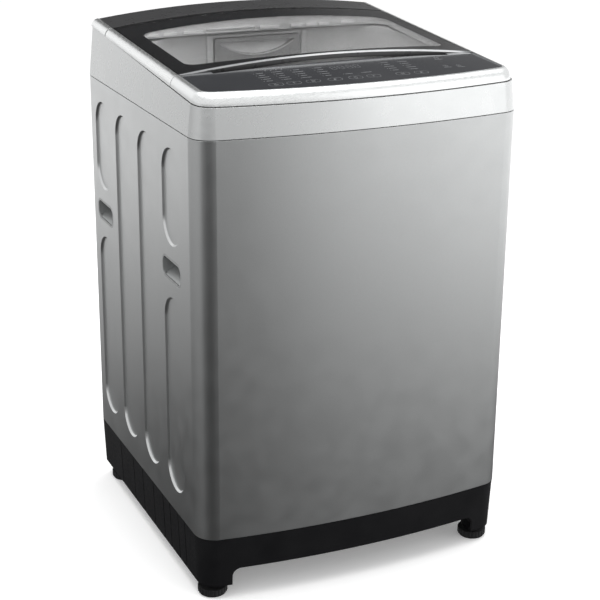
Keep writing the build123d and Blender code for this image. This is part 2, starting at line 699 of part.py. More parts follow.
frame_top = LID_GLASS + 1.5
with BuildPart() as lid_frame:
    add(crown_slab(LID_FRONT_Y + 4.0, LID_REAR_Y - 1, LID_HALF - 0.5, frame_top, 45.0))
    split(bisect_by=sloped_plane(SEAM_Z + 3.6, SEAM_SLOPE), keep=Keep.TOP)
    extrude(window_outline(1.5), amount=150, mode=Mode.SUBTRACT)
    # Hollow from below, leaving a skin and two rims.
    with BuildPart(mode=Mode.PRIVATE) as frame_hollow:
        add(crown_slab(LID_FRONT_Y + 7.0, LID_REAR_Y - 4, LID_HALF - 3.5, frame_top + 3.0, 60.0))
        extrude(window_outline(4.5), amount=150, mode=Mode.SUBTRACT)
        # Solid cheeks round each hinge ear.
        with BuildSketch(level(850)):
            with Locations((-HINGE_X, LID_REAR_Y), (HINGE_X, LID_REAR_Y)):
                Rectangle(34, 50)
        extrude(amount=150, mode=Mode.SUBTRACT)
    add(frame_hollow.part, mode=Mode.SUBTRACT)
    # The slots for the hinge ears and the bores for their pins.
    with BuildSketch(level(850)):
        with Locations((-HINGE_X, HINGE_Y + 6), (HINGE_X, HINGE_Y + 6)):
            Rectangle(10, 28)
    extrude(amount=150, mode=Mode.SUBTRACT)
    with BuildSketch(Plane.YZ.offset(-HINGE_X - 14)):
        with Locations((HINGE_Y, HINGE_Z)):
            Circle(HINGE_PIN_R)
    extrude(amount=28, mode=Mode.SUBTRACT)
    with BuildSketch(Plane.YZ.offset(HINGE_X - 14)):
        with Locations((HINGE_Y, HINGE_Z)):
            Circle(HINGE_PIN_R)
    extrude(amount=28, mode=Mode.SUBTRACT)
    # The front wall is cut away behind the lip, so that fingers reach under the lid.
    with BuildSketch(Plane.XZ.offset(-LID_FRONT_Y - 2)):
        add(finger_gap_outline())
    extrude(amount=-6, mode=Mode.SUBTRACT)
save(lid_frame.part, "lid_frame")

with BuildPart() as hinge_pins:
    for hinge_x in (-HINGE_X, HINGE_X):
        with BuildSketch(Plane.YZ.offset(hinge_x - 13)):
            with Locations((HINGE_Y, HINGE_Z)):
                Circle(HINGE_PIN_R)
        extrude(amount=26)
save(hinge_pins.part, "hinge_pins")

with BuildPart() as hinge_brackets:
    for hinge_x in (-HINGE_X, HINGE_X):
        with BuildSketch(Plane.YZ.offset(hinge_x - 3)):
            with Locations((HINGE_Y, HINGE_Z)):
                Circle(5)
            with Locations((HINGE_Y, HINGE_Z - 9.5)):
                Rectangle(8, 19)
            with Locations((HINGE_Y, HINGE_Z)):
                Circle(HINGE_PIN_R + RUNNING, mode=Mode.SUBTRACT)
        extrude(amount=6)
    split(bisect_by=sloped_plane(SEAM_Z - 0.4, SEAM_SLOPE), keep=Keep.TOP)
    with BuildSketch(sloped_plane(SEAM_Z - 0.5, SEAM_SLOPE)):
        with Locations((-HINGE_X, HINGE_Y), (HINGE_X, HINGE_Y)):
            Rectangle(30, 16)
    extrude(amount=1.6)
save(hinge_brackets.part, "hinge_brackets")

with BuildPart() as lid_chrome:
    add(crown_slab(LID_FRONT_Y, LID_FRONT_Y + 3.8, LID_HALF, -0.4, 2.8))
save(lid_chrome.part, "lid_chrome")

with BuildPart() as lid_lip:
    add(crown_slab(LID_FRONT_Y, LID_FRONT_Y + 3.8, LID_HALF, 3.0, 45.0))
    # Its lower edge follows the seam at the ends and leaves the finger gap between them.
    split(bisect_by=sloped_plane(SEAM_Z + 3.6, SEAM_SLOPE), keep=Keep.TOP)
    with BuildSketch(Plane.XZ.offset(-LID_FRONT_Y + 2)):
        add(finger_gap_outline())
    extrude(amount=-8, mode=Mode.SUBTRACT)
save(lid_lip.part, "lid_lip")

with BuildPart() as lid_bumpers:
    for bumper_x in (-268, 268):
        with BuildSketch(sloped_plane(SEAM_Z - 0.6, SEAM_SLOPE)):
            with Locations((bumper_x, -110)):
                Circle(5)
        extrude(amount=3.8)
save(lid_bumpers.part, "lid_bumpers")

with BuildPart() as lid_switch:
    with BuildSketch(sloped_plane(SEAM_Z - 22, SEAM_SLOPE)):
        with Locations((240, 200)):
            Rectangle(26, 14)
    extrude(amount=18)
save(lid_switch.part, "lid_switch")

# ---------------------------------------------------------------- suspension
with BuildPart() as hanger_plates:
    for x_side, y_side in CORNERS:
        with BuildSketch(level(824)):
            with BuildLine():
                Polyline(
                    (x_side * 214, y_side * 281),
                    (x_side * 298, y_side * 202),
                    (x_side * 298, y_side * 230),
                    (x_side * 262, y_side * 266),
                    (x_side * 238, y_side * 281),
                    close=True,
                )
            make_face()
            with Locations((x_side * ROD_X, y_side * ROD_Y)):
                Circle(26)
                Circle(ROD_R + 1.5, mode=Mode.SUBTRACT)
        extrude(amount=4)
save(hanger_plates.part, "hanger_plates")

with BuildPart() as suspension_rods:
    for x_side, y_side in CORNERS:
        rod_place = (x_side * ROD_X, y_side * ROD_Y)
        with BuildSketch(level(SPRING_CUP_Z - 8)):
            with Locations(rod_place):
                Circle(ROD_R)
        extrude(amount=828.5 - SPRING_CUP_Z + 8)
        with BuildSketch(level(828.2)):
            with Locations(rod_place):
                Circle(11)
        extrude(amount=5)
        # The crimped cup that holds the spring.
        with BuildSketch(level(SPRING_CUP_Z - 6)):
            with Locations(rod_place):
                Circle(22)
        extrude(amount=5.6)
save(suspension_rods.part, "suspension_rods")

spring_length = LUG_Z - SPRING_CUP_Z - 4
spring_helix = Helix(pitch=spring_length / 6, height=spring_length, radius=14)
with BuildPart() as suspension_springs:
    for x_side, y_side in CORNERS:
        path = Pos(x_side * ROD_X, y_side * ROD_Y, SPRING_CUP_Z + 1.8) * spring_helix
        with BuildSketch(Plane(origin=path @ 0, z_dir=path % 0)) as wire:
            Circle(1.7)
        sweep(wire.sketch, path=path, is_frenet=True)
save(suspension_springs.part, "suspension_springs")

# ---------------------------------------------------------------- tub and drive
with BuildPart() as outer_tub:
    with BuildSketch(level(TUB_BOTTOM)):
        Circle(TUB_RADIUS)
    extrude(amount=TUB_TOP - TUB_BOTTOM)
    with BuildSketch(level(TUB_BOTTOM + 4)):
        Circle(TUB_RADIUS - 3)
    extrude(amount=TUB_TOP - TUB_BOTTOM, mode=Mode.SUBTRACT)
    for x_side, y_side in CORNERS:
        bearing = degrees(atan2(y_side * ROD_Y, x_side * ROD_X))
        reach = hypot(ROD_X, ROD_Y)
        with BuildSketch(Plane(origin=(0, 0, LUG_Z), x_dir=(x_side * ROD_X, y_side * ROD_Y, 0), z_dir=(0, 0, 1))):
            with Locations(((TUB_RADIUS - 2 + reach) / 2, 0)):
                Rectangle(reach - TUB_RADIUS + 2, 30)
            with Locations((reach, 0)):
                Circle(21)
                Circle(ROD_R + 2, mode=Mode.SUBTRACT)
        extrude(amount=10)
    with BuildSketch(level(TUB_BOTTOM - 1)):
        Circle(32)
        with Locations(DRAIN_VALVE):
            Circle(20)
    extrude(amount=8, mode=Mode.SUBTRACT)
save(outer_tub.part, "outer_tub")

with BuildPart() as tub_cover:
    with BuildSketch(level(TUB_TOP + 0.2)):
        Circle(TUB_RADIUS + 3)
        Circle(MOUTH_RADIUS - 3, mode=Mode.SUBTRACT)
    extrude(amount=4)
    with BuildSketch(level(TUB_TOP - 14)):
        Circle(TUB_RADIUS + 3)
        Circle(TUB_RADIUS + 0.4, mode=Mode.SUBTRACT)
    extrude(amount=16)
save(tub_cover.part, "tub_cover")

with BuildPart() as drive_plate:
    with BuildSketch(level(TUB_BOTTOM - 8)):
        Circle(185)
        with PolarLocations(120, 6, 30):
            Circle(28, mode=Mode.SUBTRACT)
        Circle(SPIN_SHAFT_R + 4, mode=Mode.SUBTRACT)
        with Locations(DRAIN_VALVE):
            Circle(24, mode=Mode.SUBTRACT)
    extrude(amount=4)
    with BuildSketch(level(TUB_BOTTOM - 4.2)):
        Circle(60)
        Circle(SPIN_SHAFT_R + 4, mode=Mode.SUBTRACT)
    extrude(amount=4)
save(drive_plate.part, "drive_plate")

with BuildPart() as gearbox:
    with BuildSketch(level(172)):
        Circle(58)
    extrude(amount=TUB_BOTTOM - 8.2 - 172)
    with BuildSketch(level(160)):
        Circle(30)
    extrude(amount=14)
    with BuildSketch(level(150)):
        Circle(SPIN_SHAFT_R + RUNNING)
    extrude(amount=120, mode=Mode.SUBTRACT)
    fillet(gearbox.edges().filter_by(GeomType.CIRCLE).group_by(Axis.Z)[-1].sort_by(Edge.length)[-1], 3)
save(gearbox.part, "gearbox")

with BuildPart() as main_seal:
    with BuildSketch(level(TUB_BOTTOM)):
        Circle(31.9)
        Circle(SPIN_SHAFT_R + RUNNING, mode=Mode.SUBTRACT)
    extrude(amount=10)
save(main_seal.part, "main_seal")

with BuildPart() as drain_valve:
    with BuildSketch(level(TUB_BOTTOM - 60)):
        with Locations(DRAIN_VALVE):
            Circle(24)
    extrude(amount=50)
    with BuildSketch(level(TUB_BOTTOM - 14)):
        with Locations(DRAIN_VALVE):
            Circle(19.6)
    extrude(amount=19)
    with BuildSketch(level(TUB_BOTTOM - 50)):
        with Locations((DRAIN_VALVE[0], DRAIN_VALVE[1] + 50)):
            RectangleRounded(34, 60, 4)
    extrude(amount=30)
save(drain_valve.part, "drain_valve")

with BuildPart() as motor_body:
    motor_place = Plane((MOTOR_X, MOTOR_Y, 170))
    with BuildSketch(motor_place):
        Circle(58)
        with PolarLocations(66, 4, 45):
            Circle(8)
            Rectangle(26, 12)
    extrude(amount=TUB_BOTTOM - 8.2 - 170)
    with BuildSketch(Plane((MOTOR_X, MOTOR_Y, 164))):
        Circle(18)
    extrude(amount=8)
    with BuildSketch(Plane((MOTOR_X, MOTOR_Y, 160))):
        Circle(6 + RUNNING)
    extrude(amount=72, mode=Mode.SUBTRACT)
save(motor_body.part, "motor_body")

with BuildPart() as motor_shaft:
    with BuildSketch(Plane((MOTOR_X, MOTOR_Y, PULLEY_Z - 2))):
        Circle(6)
    extrude(amount=90)
save(motor_shaft.part, "motor_shaft")


def pulley(place, radius, bore):
    """A belt pulley with a groove, made as a revolved section."""
    with BuildPart() as wheel:
        with BuildSketch(Plane(place, x_dir=(1, 0, 0), z_dir=(0, -1, 0))):
            with BuildLine():
                Polyline(
                    (bore, 0),
                    (radius + 4, 0),
                    (radius + 4, 2),
                    (radius - 2, 5),
                    (radius - 2, 9),
                    (radius + 4, 12),
                    (radius + 4, 14),
                    (bore, 14),
                    close=True,
                )
            make_face()
        revolve(axis=Axis(place, (0, 0, 1)))
    return wheel.part


save(pulley((MOTOR_X, MOTOR_Y, PULLEY_Z), SMALL_PULLEY_R, 6.0), "motor_pulley")

with BuildPart() as drive_pulley:
    add(pulley((0, 0, PULLEY_Z), BIG_PULLEY_R, WASH_SHAFT_R))
    with BuildSketch(level(PULLEY_Z - 1)):
        with PolarLocations(39, 6):
            Circle(13)
    extrude(amount=16, mode=Mode.SUBTRACT)
save(drive_pulley.part, "drive_pulley")

with BuildPart() as drive_belt:
    for grow, mode in ((5.0, Mode.ADD), (-1.6, Mode.SUBTRACT)):
        with BuildSketch(level(PULLEY_Z + 5.4)):
            Circle(BIG_PULLEY_R + grow)
            with Locations((MOTOR_X, MOTOR_Y)):
                Circle(SMALL_PULLEY_R + grow)
            make_hull()
        extrude(amount=3.2, mode=mode)
save(drive_belt.part, "drive_belt")

with BuildPart() as wash_shaft:
    with BuildSketch(level(PULLEY_Z - 6)):
        Circle(WASH_SHAFT_R)
    extrude(amount=DRUM_BOTTOM + 22 - PULLEY_Z + 6)
save(wash_shaft.part, "wash_shaft")

with BuildPart() as spin_shaft:
    with BuildSketch(level(176)):
        Circle(SPIN_SHAFT_R)
        Circle(WASH_SHAFT_R + RUNNING, mode=Mode.SUBTRACT)
    extrude(amount=DRUM_BOTTOM - 176)
save(spin_shaft.part, "spin_shaft")

# ---------------------------------------------------------------- drum
with BuildPart() as drum_base:
    with BuildSketch(level(DRUM_BOTTOM)):
        Circle(DRUM_RADIUS - 2.2)
        Circle(WASH_SHAFT_R + 4, mode=Mode.SUBTRACT)
        with PolarLocations(205, 12):
            Circle(9, mode=Mode.SUBTRACT)
    extrude(amount=8)
save(drum_base.part, "drum_base")

with BuildPart() as wash_drum:
    with BuildSketch(level(DRUM_BOTTOM)):
        Circle(DRUM_RADIUS)
        Circle(DRUM_RADIUS - 2, mode=Mode.SUBTRACT)
    extrude(amount=792 - DRUM_BOTTOM)
    for row in range(6):
        for column in range(12):
            turn = 15 * (row % 2) + 30 * column
            with BuildSketch(Plane((0, 0, 350 + 72 * row), z_dir=Vector(1, 0, 0).rotate(Axis.Z, turn))):
                Circle(4.5)
            extrude(amount=DRUM_RADIUS + 10, mode=Mode.SUBTRACT)
save(wash_drum.part, "wash_drum")

with BuildPart() as balance_ring:
    with BuildSketch(level(792.2)):
        Circle(DRUM_RADIUS)
        Circle(MOUTH_RADIUS + 2, mode=Mode.SUBTRACT)
    extrude(amount=32)
    fillet(balance_ring.edges().filter_by(GeomType.CIRCLE).group_by(Axis.Z)[-1], 5)
save(balance_ring.part, "balance_ring")

with BuildPart() as lint_filters:
    for side in (-1, 1):
        with BuildSketch(Plane.YZ.offset(side * 232)):
            with Locations((0, 520)):
                RectangleRounded(90, 260, 12)
        extrude(amount=side * 3)
save(lint_filters.part, "lint_filters")

with BuildPart() as pulsator:
    with BuildSketch(level(DRUM_BOTTOM + 9)):
        Circle(PULSATOR_RADIUS)
    extrude(amount=9, taper=20)
    with BuildSketch(level(DRUM_BOTTOM + 16)):
        Circle(62)
    extrude(amount=16, taper=42)
    for blade in range(6):
        blade_dir = Vector(1, 0, 0).rotate(Axis.Z, 60 * blade)
        with BuildSketch(Plane(origin=(0, 0, DRUM_BOTTOM + 14), x_dir=blade_dir, z_dir=(0, 0, 1))):
            with Locations((95, 0)):
                SlotOverall(120, 24)
        extrude(amount=14, taper=30)
    with BuildSketch(level(DRUM_BOTTOM)):
        Circle(WASH_SHAFT_R)
    extrude(amount=22, mode=Mode.SUBTRACT)
save(pulsator.part, "pulsator")

with BuildPart() as pulsator_cap:
    with BuildSketch(level(DRUM_BOTTOM + 32.2)):
        Circle(24)
    extrude(amount=5)
    fillet(pulsator_cap.edges().group_by(Axis.Z)[-1], 3)
save(pulsator_cap.part, "pulsator_cap")
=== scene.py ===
# %% [markdown]
# # Dressing a top load washing machine
# The frame holds every real part of the machine at its real size: shells, glass, drum and
# feet. This lesson gives those parts their finishes, adds the fine pieces that are too small
# for an engineering model, and lights the whole like a shop catalogue. We never move a part.

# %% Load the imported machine
import math

import bmesh
import bpy
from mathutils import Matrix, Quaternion, Vector
from mathutils.bvhtree import BVHTree


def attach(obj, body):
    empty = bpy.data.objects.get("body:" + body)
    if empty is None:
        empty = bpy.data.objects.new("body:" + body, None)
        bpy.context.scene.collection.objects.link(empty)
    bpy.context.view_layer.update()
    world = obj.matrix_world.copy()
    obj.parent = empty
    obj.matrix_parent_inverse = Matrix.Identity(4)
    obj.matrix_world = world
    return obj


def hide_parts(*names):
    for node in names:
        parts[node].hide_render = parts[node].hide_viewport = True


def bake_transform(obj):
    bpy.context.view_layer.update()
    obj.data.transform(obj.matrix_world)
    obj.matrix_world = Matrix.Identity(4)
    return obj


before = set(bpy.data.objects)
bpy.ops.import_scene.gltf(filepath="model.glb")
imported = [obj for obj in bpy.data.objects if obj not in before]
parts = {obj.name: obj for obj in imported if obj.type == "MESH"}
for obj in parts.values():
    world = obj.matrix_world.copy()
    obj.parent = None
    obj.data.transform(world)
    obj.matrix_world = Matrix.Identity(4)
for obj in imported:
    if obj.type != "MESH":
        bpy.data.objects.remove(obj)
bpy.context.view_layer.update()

MM = 0.001

# %% [markdown]
# ## The camera
# A product camera stands well back with a long lens, to the left of the machine and a little
# above it, so the front, one side and the glass top all show. A camera is aimed by the
# direction of its back, and a small roll levels the picture. We could aim it with a
# constraint, but a plain quaternion is easier to read and never changes.

# %% Stand the camera
CAMERA_PLACE = Vector((-1.120, -2.469, 1.431))
CAMERA_TURN = math.radians(-24.57)
CAMERA_LOOKS_DOWN = math.radians(20.04)
CAMERA_ROLL = math.radians(0.57)
SENSOR_MM = 36
LENS_MM = 89.9
camera_back = Vector(
    (
        math.sin(CAMERA_TURN) * math.cos(CAMERA_LOOKS_DOWN),
        -math.cos(CAMERA_TURN) * math.cos(CAMERA_LOOKS_DOWN),
        math.sin(CAMERA_LOOKS_DOWN),
    )
)
lens = bpy.data.cameras.new("portrait_lens")
lens.sensor_width = SENSOR_MM
lens.lens = LENS_MM
camera = bpy.data.objects.new("portrait_camera", lens)
bpy.context.scene.collection.objects.link(camera)
camera.location = CAMERA_PLACE
camera.rotation_mode = "QUATERNION"
level_view = (-camera_back).to_track_quat("-Z", "Y")
camera.rotation_quaternion = Quaternion(camera_back, CAMERA_ROLL) @ level_view
bpy.context.scene.camera = camera
bpy.context.scene.view_settings.view_transform = "Standard"
print("camera stands", round(CAMERA_PLACE.length, 2), "m from the machine's foot")

# %% [markdown]
# ## The studio
# Metallic paint has almost no colour of its own: it shows the room. A catalogue studio for
# white goods is a pale room with a dark gap behind the camera, which draws the dark stripe
# down the rounded front corner, and a bright wall on the right, which lights the front.
# We could hang many cards, but one sky shaded by height and by compass direction gives the
# same soft sweep with no noise. The upright walls of the machine show the sky below the
# horizon and its level top shows the sky above, so each half has a compass ramp of its own.


# %% A ramp with several stops
def fill_ramp(ramp, stops):
    """Sets the stops of a colour ramp from (position, brightness) pairs."""
    while len(ramp.elements) < len(stops):
        ramp.elements.new(0.5)
    for element, (position, value) in zip(ramp.elements, stops):
        element.position = position
        element.color = (value, value, value, 1)


# %% Shade the sky by height and by compass direction
# Heights are the sine of the elevation; compass angles start at the front, right is positive.
SKY_BY_HEIGHT = [
    (-1.0, 0.16),
    (-0.7, 0.08),
    (-0.5, 0.0),
    (-0.43, 0.03),
    (-0.35, 0.38),
    (-0.24, 1.0),
    (0.0, 1.05),
    (1.0, 1.0),
]
LOW_COMPASS = [
    (-180, 1.4),
    (-166, 1.4),
    (-157, 0.6),
    (-80, 0.7),
    (-58, 0.2),
    (-40, 0.03),
    (-14, 0.05),
    (5, 0.38),
    (25, 1.2),
    (50, 1.6),
    (150, 1.4),
    (180, 1.4),
]
HIGH_COMPASS = [
    (-180, 0.05),
    (-178, 0.15),
    (-172, 0.9),
    (-160, 1.3),
    (-140, 1.0),
    (0, 1.0),
    (130, 1.0),
    (140, 0.5),
    (149, 0.14),
    (157, 0.05),
    (180, 0.05),
]
world = bpy.data.worlds.new("studio_room")
world.use_nodes = True
bpy.context.scene.world = world
sky = world.node_tree
direction = sky.nodes.new("ShaderNodeTexCoord")
split_direction = sky.nodes.new("ShaderNodeSeparateXYZ")
sky.links.new(direction.outputs["Generated"], split_direction.inputs[0])


def sky_ramp(value, lowest, highest, stops):
    """A smooth ramp over a value that runs from lowest to highest."""
    share = sky.nodes.new("ShaderNodeMapRange")
    share.inputs["From Min"].default_value = lowest
    share.inputs["From Max"].default_value = highest
    sky.links.new(value, share.inputs["Value"])
    ramp = sky.nodes.new("ShaderNodeValToRGB")
    ramp.color_ramp.interpolation = "EASE"
    fill_ramp(ramp.color_ramp, [((at - lowest) / (highest - lowest), v) for at, v in stops])
    sky.links.new(share.outputs[0], ramp.inputs[0])
    return ramp.outputs[0]


def sky_mix(blend, factor, first, second):
    """Two sky colours, mixed or multiplied."""
    mix = sky.nodes.new("ShaderNodeMix")
    mix.data_type = "RGBA"
    mix.blend_type = blend
    if factor is None:
        mix.inputs["Factor"].default_value = 1
    else:
        sky.links.new(factor, mix.inputs["Factor"])
    sky.links.new(first, mix.inputs["A"])
    sky.links.new(second, mix.inputs["B"])
    return mix.outputs["Result"]


to_front = sky.nodes.new("ShaderNodeMath")
to_front.operation = "MULTIPLY"
to_front.inputs[1].default_value = -1
sky.links.new(split_direction.outputs["Y"], to_front.inputs[0])
compass = sky.nodes.new("ShaderNodeMath")
compass.operation = "ARCTAN2"
sky.links.new(split_direction.outputs["X"], compass.inputs[0])
sky.links.new(to_front.outputs[0], compass.inputs[1])
compass_degrees = sky.nodes.new("ShaderNodeMath")
compass_degrees.operation = "MULTIPLY"
compass_degrees.inputs[1].default_value = math.degrees(1)
sky.links.new(compass.outputs[0], compass_degrees.inputs[0])

height = split_direction.outputs["Z"]
above = sky_ramp(height, -1, 1, [(-0.08, 0), (0.08, 1)])
low_sky = sky_ramp(compass_degrees.outputs[0], -180, 180, LOW_COMPASS)
high_sky = sky_ramp(compass_degrees.outputs[0], -180, 180, HIGH_COMPASS)
both_skies = sky_mix("MIX", above, low_sky, high_sky)
full_sky = sky_mix("MULTIPLY", None, sky_ramp(height, -1, 1, SKY_BY_HEIGHT), both_skies)
sky.links.new(full_sky, sky.nodes["Background"].inputs["Color"])
sky.nodes["Background"].inputs["Strength"].default_value = 1.0
print("sky has", len(LOW_COMPASS), "stops below the horizon and", len(HIGH_COMPASS), "above")

# %% [markdown]
# ## Lamps and floor
# A broad box overhead lights the top, the well under the glass and the floor. A second, weak
# box fills the right of the front. The fade down the front comes from the sky, not from them.
# The floor is a plain pale sheet that shines into nothing, so the metal doesn't mirror it.


# %% Hang the soft boxes
def soft_box(name, place, aim, width, height, watts):
    """A rectangular studio lamp that faces a point and doesn't show in the picture."""
    lamp = bpy.data.lights.new(name, "AREA")
    lamp.shape = "RECTANGLE"
    lamp.size = width
    lamp.size_y = height
    lamp.energy = watts
    holder = bpy.data.objects.new(name, lamp)
    bpy.context.scene.collection.objects.link(holder)
    holder.location = place
    holder.rotation_mode = "QUATERNION"
    holder.rotation_quaternion = (Vector(aim) - Vector(place)).to_track_quat("-Z", "Y")
    holder.visible_camera = False
    print(name, "is", width, "by", height, "m with", watts, "W")


soft_box("overhead_box", (0.2, 0.1, 3.4), (0, 0, 0), 3.2, 3.2, 95)
soft_box("front_box", (1.6, -2.2, 1.5), (0, 0, 0.6), 1.6, 1.6, 6)

# %% Lay the floor
FLOOR_HALF = 15.0
FLOOR_DROP = 0.0005
floor_mesh = bpy.data.meshes.new("studio_floor")
corners = [(x * FLOOR_HALF, y * FLOOR_HALF, 0) for x, y in ((-1, -1), (1, -1), (1, 1), (-1, 1))]
floor_mesh.from_pydata(corners, [], [(0, 1, 2, 3)])
floor = bpy.data.objects.new("studio_floor", floor_mesh)
bpy.context.scene.collection.objects.link(floor)
floor.location.z = -FLOOR_DROP
floor.visible_glossy = False
floor.visible_diffuse = False
print("floor is", 2 * FLOOR_HALF, "m wide")

# %% [markdown]
# ## Recipes for a finish
# Every finish starts from one physically based shader. An even value, such as metalness, sits
# on the shader's own socket. Where the real surface varies, a pattern measured in
# millimetres drives colour, roughness or tiny relief. The patterns use object coordinates,
# so their grain has its true size on every part, with no unwrapping.


# %% Start a finish
def new_finish(name, colour, roughness, metal=0.0, sockets=None):
    """A material with even values on the shader's own sockets."""
    finish = bpy.data.materials.new(name)
    finish.use_nodes = True
    shader = finish.node_tree.nodes["Principled BSDF"]
    shader.inputs["Base Color"].default_value = (*colour, 1)
    shader.inputs["Roughness"].default_value = roughness
    shader.inputs["Metallic"].default_value = metal
    for socket, value in (sockets or {}).items():
        shader.inputs[socket].default_value = value
    return finish


def shader_of(finish):
    return finish.node_tree.nodes["Principled BSDF"]


def add_node(finish, kind):
    return finish.node_tree.nodes.new(kind)


def link(finish, source, target):
    finish.node_tree.links.new(source, target)


# %% Patterns, in millimetres
def pattern_place(finish, stretch=(1, 1, 1)):
    """Object coordinates, stretched along the axes where stretch is under 1."""
    place = add_node(finish, "ShaderNodeTexCoord")
    mapping = add_node(finish, "ShaderNodeMapping")
    mapping.inputs["Scale"].default_value = stretch
    link(finish, place.outputs["Object"], mapping.inputs["Vector"])
    return mapping.outputs["Vector"]


def cloudy(finish, size_mm, stretch=(1, 1, 1), detail=2.0):
    """Soft noise whose blotches are about size_mm across."""
    noise = add_node(finish, "ShaderNodeTexNoise")
    noise.inputs["Scale"].default_value = 1 / (size_mm * MM)
    noise.inputs["Detail"].default_value = detail
    link(finish, pattern_place(finish, stretch), noise.inputs["Vector"])
    return noise.outputs["Fac"]


def cells(finish, size_mm, stretch=(1, 1, 1), output="Color"):
    """Crystal-like cells about size_mm across."""
    voronoi = add_node(finish, "ShaderNodeTexVoronoi")
    voronoi.inputs["Scale"].default_value = 1 / (size_mm * MM)
    link(finish, pattern_place(finish, stretch), voronoi.inputs["Vector"])
    return voronoi.outputs[output]


# %% Drive the shader with a pattern
def vary(finish, socket, pattern, low, high):
    """A value that follows a pattern, from low to high."""
    spread = add_node(finish, "ShaderNodeMapRange")
    spread.inputs["From Min"].default_value = 0.3
    spread.inputs["From Max"].default_value = 0.7
    spread.inputs["To Min"].default_value = low
    spread.inputs["To Max"].default_value = high
    link(finish, pattern, spread.inputs["Value"])
    link(finish, spread.outputs[0], shader_of(finish).inputs[socket])


def vary_colour(finish, pattern, dark, light, low=0.3, high=0.7):
    """The base colour follows a pattern, from dark to light."""
    ramp = add_node(finish, "ShaderNodeValToRGB")
    ramp.color_ramp.elements[0].position = low
    ramp.color_ramp.elements[0].color = (*dark, 1)
    ramp.color_ramp.elements[1].position = high
    ramp.color_ramp.elements[1].color = (*light, 1)
    link(finish, pattern, ramp.inputs[0])
    link(finish, ramp.outputs[0], shader_of(finish).inputs["Base Color"])


def relief(finish, layers, edge_mm=0.0):
    """Tiny relief from (pattern, height in mm, strength) layers, over softened edges."""
    normal = None
    if edge_mm:
        bevel = add_node(finish, "ShaderNodeBevel")
        bevel.samples = 4
        bevel.inputs["Radius"].default_value = edge_mm * MM
        normal = bevel.outputs[0]
    for pattern, height_mm, strength in layers:
        bump = add_node(finish, "ShaderNodeBump")
        bump.inputs["Distance"].default_value = height_mm * MM
        bump.inputs["Strength"].default_value = strength
        link(finish, pattern, bump.inputs["Height"])
        if normal is not None:
            link(finish, normal, bump.inputs["Normal"])
        normal = bump.outputs[0]
    link(finish, normal, shader_of(finish).inputs["Normal"])


# %% Put a finish on parts
def dress(finish, *names):
    """The named parts get this finish in every one of their material slots."""
    for name in names:
        skin = parts[name].data.materials
        skin.clear()
        skin.append(finish)
    print(finish.name, "dresses", ", ".join(names))


# %% [markdown]
# ## Silver paint and silver plastic
# The steel wrap is sprayed with a silver paint: aluminium flakes in a clear binder, with a
# faint orange peel. The plastic band above it is painted to match, a touch smoother. The
# flakes are far below a millimetre, so they only break up the reflection a little.


# %% Mix the silver paints
def silver_paint(name, dark, light, roughness, metal, peel_mm):
    paint = new_finish(name, light, roughness, metal, {"Coat Weight": 0.12, "Coat Roughness": 0.25})
    flakes = cloudy(paint, 0.5, detail=3)
    vary_colour(paint, flakes, dark, light)
    vary(paint, "Roughness", cloudy(paint, 35), roughness - 0.02, roughness + 0.02)
    relief(paint, [(cloudy(paint, 4.5), peel_mm, 0.25), (flakes, 0.006, 0.2)], edge_mm=0.8)
    return paint


wrap_paint = silver_paint("wrap_silver_paint", (0.5, 0.51, 0.51), (0.6, 0.61, 0.61), 0.3, 0.94, 0.01)
band_paint = silver_paint("band_silver", (0.53, 0.54, 0.54), (0.62, 0.63, 0.63), 0.28, 0.92, 0.006)
handle_paint = silver_paint("handle_grey", (0.36, 0.37, 0.37), (0.44, 0.45, 0.45), 0.42, 0.6, 0.004)
dress(wrap_paint, "cabinet_wrap")
dress(band_paint, "top_cover")
dress(handle_paint, "left_handles", "right_handles")

# %% [markdown]
# ## Brushed trim and chrome
# The trim round the glass is plastic with a brushed metal foil. Its scratches run along each
# strip, so the front strip and the side strips get the same recipe, stretched along X or Y.
# The line at the front of the lid and the thin bezel round the panel are plated.


# %% Brush the trims
def brushed_foil(name, stretch):
    foil = new_finish(name, (0.72, 0.73, 0.73), 0.3, 0.95)
    scratches = cloudy(foil, 0.6, stretch, detail=4)
    vary_colour(foil, scratches, (0.62, 0.63, 0.63), (0.8, 0.81, 0.81))
    vary(foil, "Roughness", scratches, 0.24, 0.36)
    relief(foil, [(scratches, 0.008, 0.3)], edge_mm=0.6)
    return foil


front_foil = brushed_foil("trim_silver_front", (0.02, 1, 1))
side_foil = brushed_foil("trim_silver_side", (1, 0.02, 1))
dress(front_foil, "front_trim")
dress(side_foil, "lid_strips", "rear_trims")

# %% Plate the chrome
chrome = new_finish("chrome", (0.86, 0.87, 0.88), 0.08, 1.0)
vary(chrome, "Roughness", cloudy(chrome, 12), 0.05, 0.14)
dress(chrome, "lid_chrome")
satin_chrome = new_finish("bezel_chrome", (0.62, 0.63, 0.64), 0.22, 1.0)
vary(satin_chrome, "Roughness", cloudy(satin_chrome, 8), 0.18, 0.28)
dress(satin_chrome, "panel_bezel")

# %% [markdown]
# ## Blacks
# The plinth is moulded with a fine leather-like grain that hides scuffs. The rear deck and
# the lid's lip are smooth glossy mouldings, and the panel is dark glass with a cold tint. The
# lid's border is a ceramic print fired on the back of the glass: with no air between, it has
# no shine of its own, so its specular level is nil.

# %% Grained and glossy blacks
base_black = new_finish("base_black", (0.009, 0.009, 0.01), 0.5, 0.0, {"Specular IOR Level": 0.14})
base_grain = cells(base_black, 1.1, output="Distance")
vary_colour(base_black, cloudy(base_black, 60), (0.007, 0.007, 0.008), (0.011, 0.011, 0.012))
vary(base_black, "Roughness", cloudy(base_black, 5), 0.44, 0.56)
relief(base_black, [(base_grain, 0.05, 0.35)], edge_mm=1.2)
dress(base_black, "base_frame", "bottom_guard")

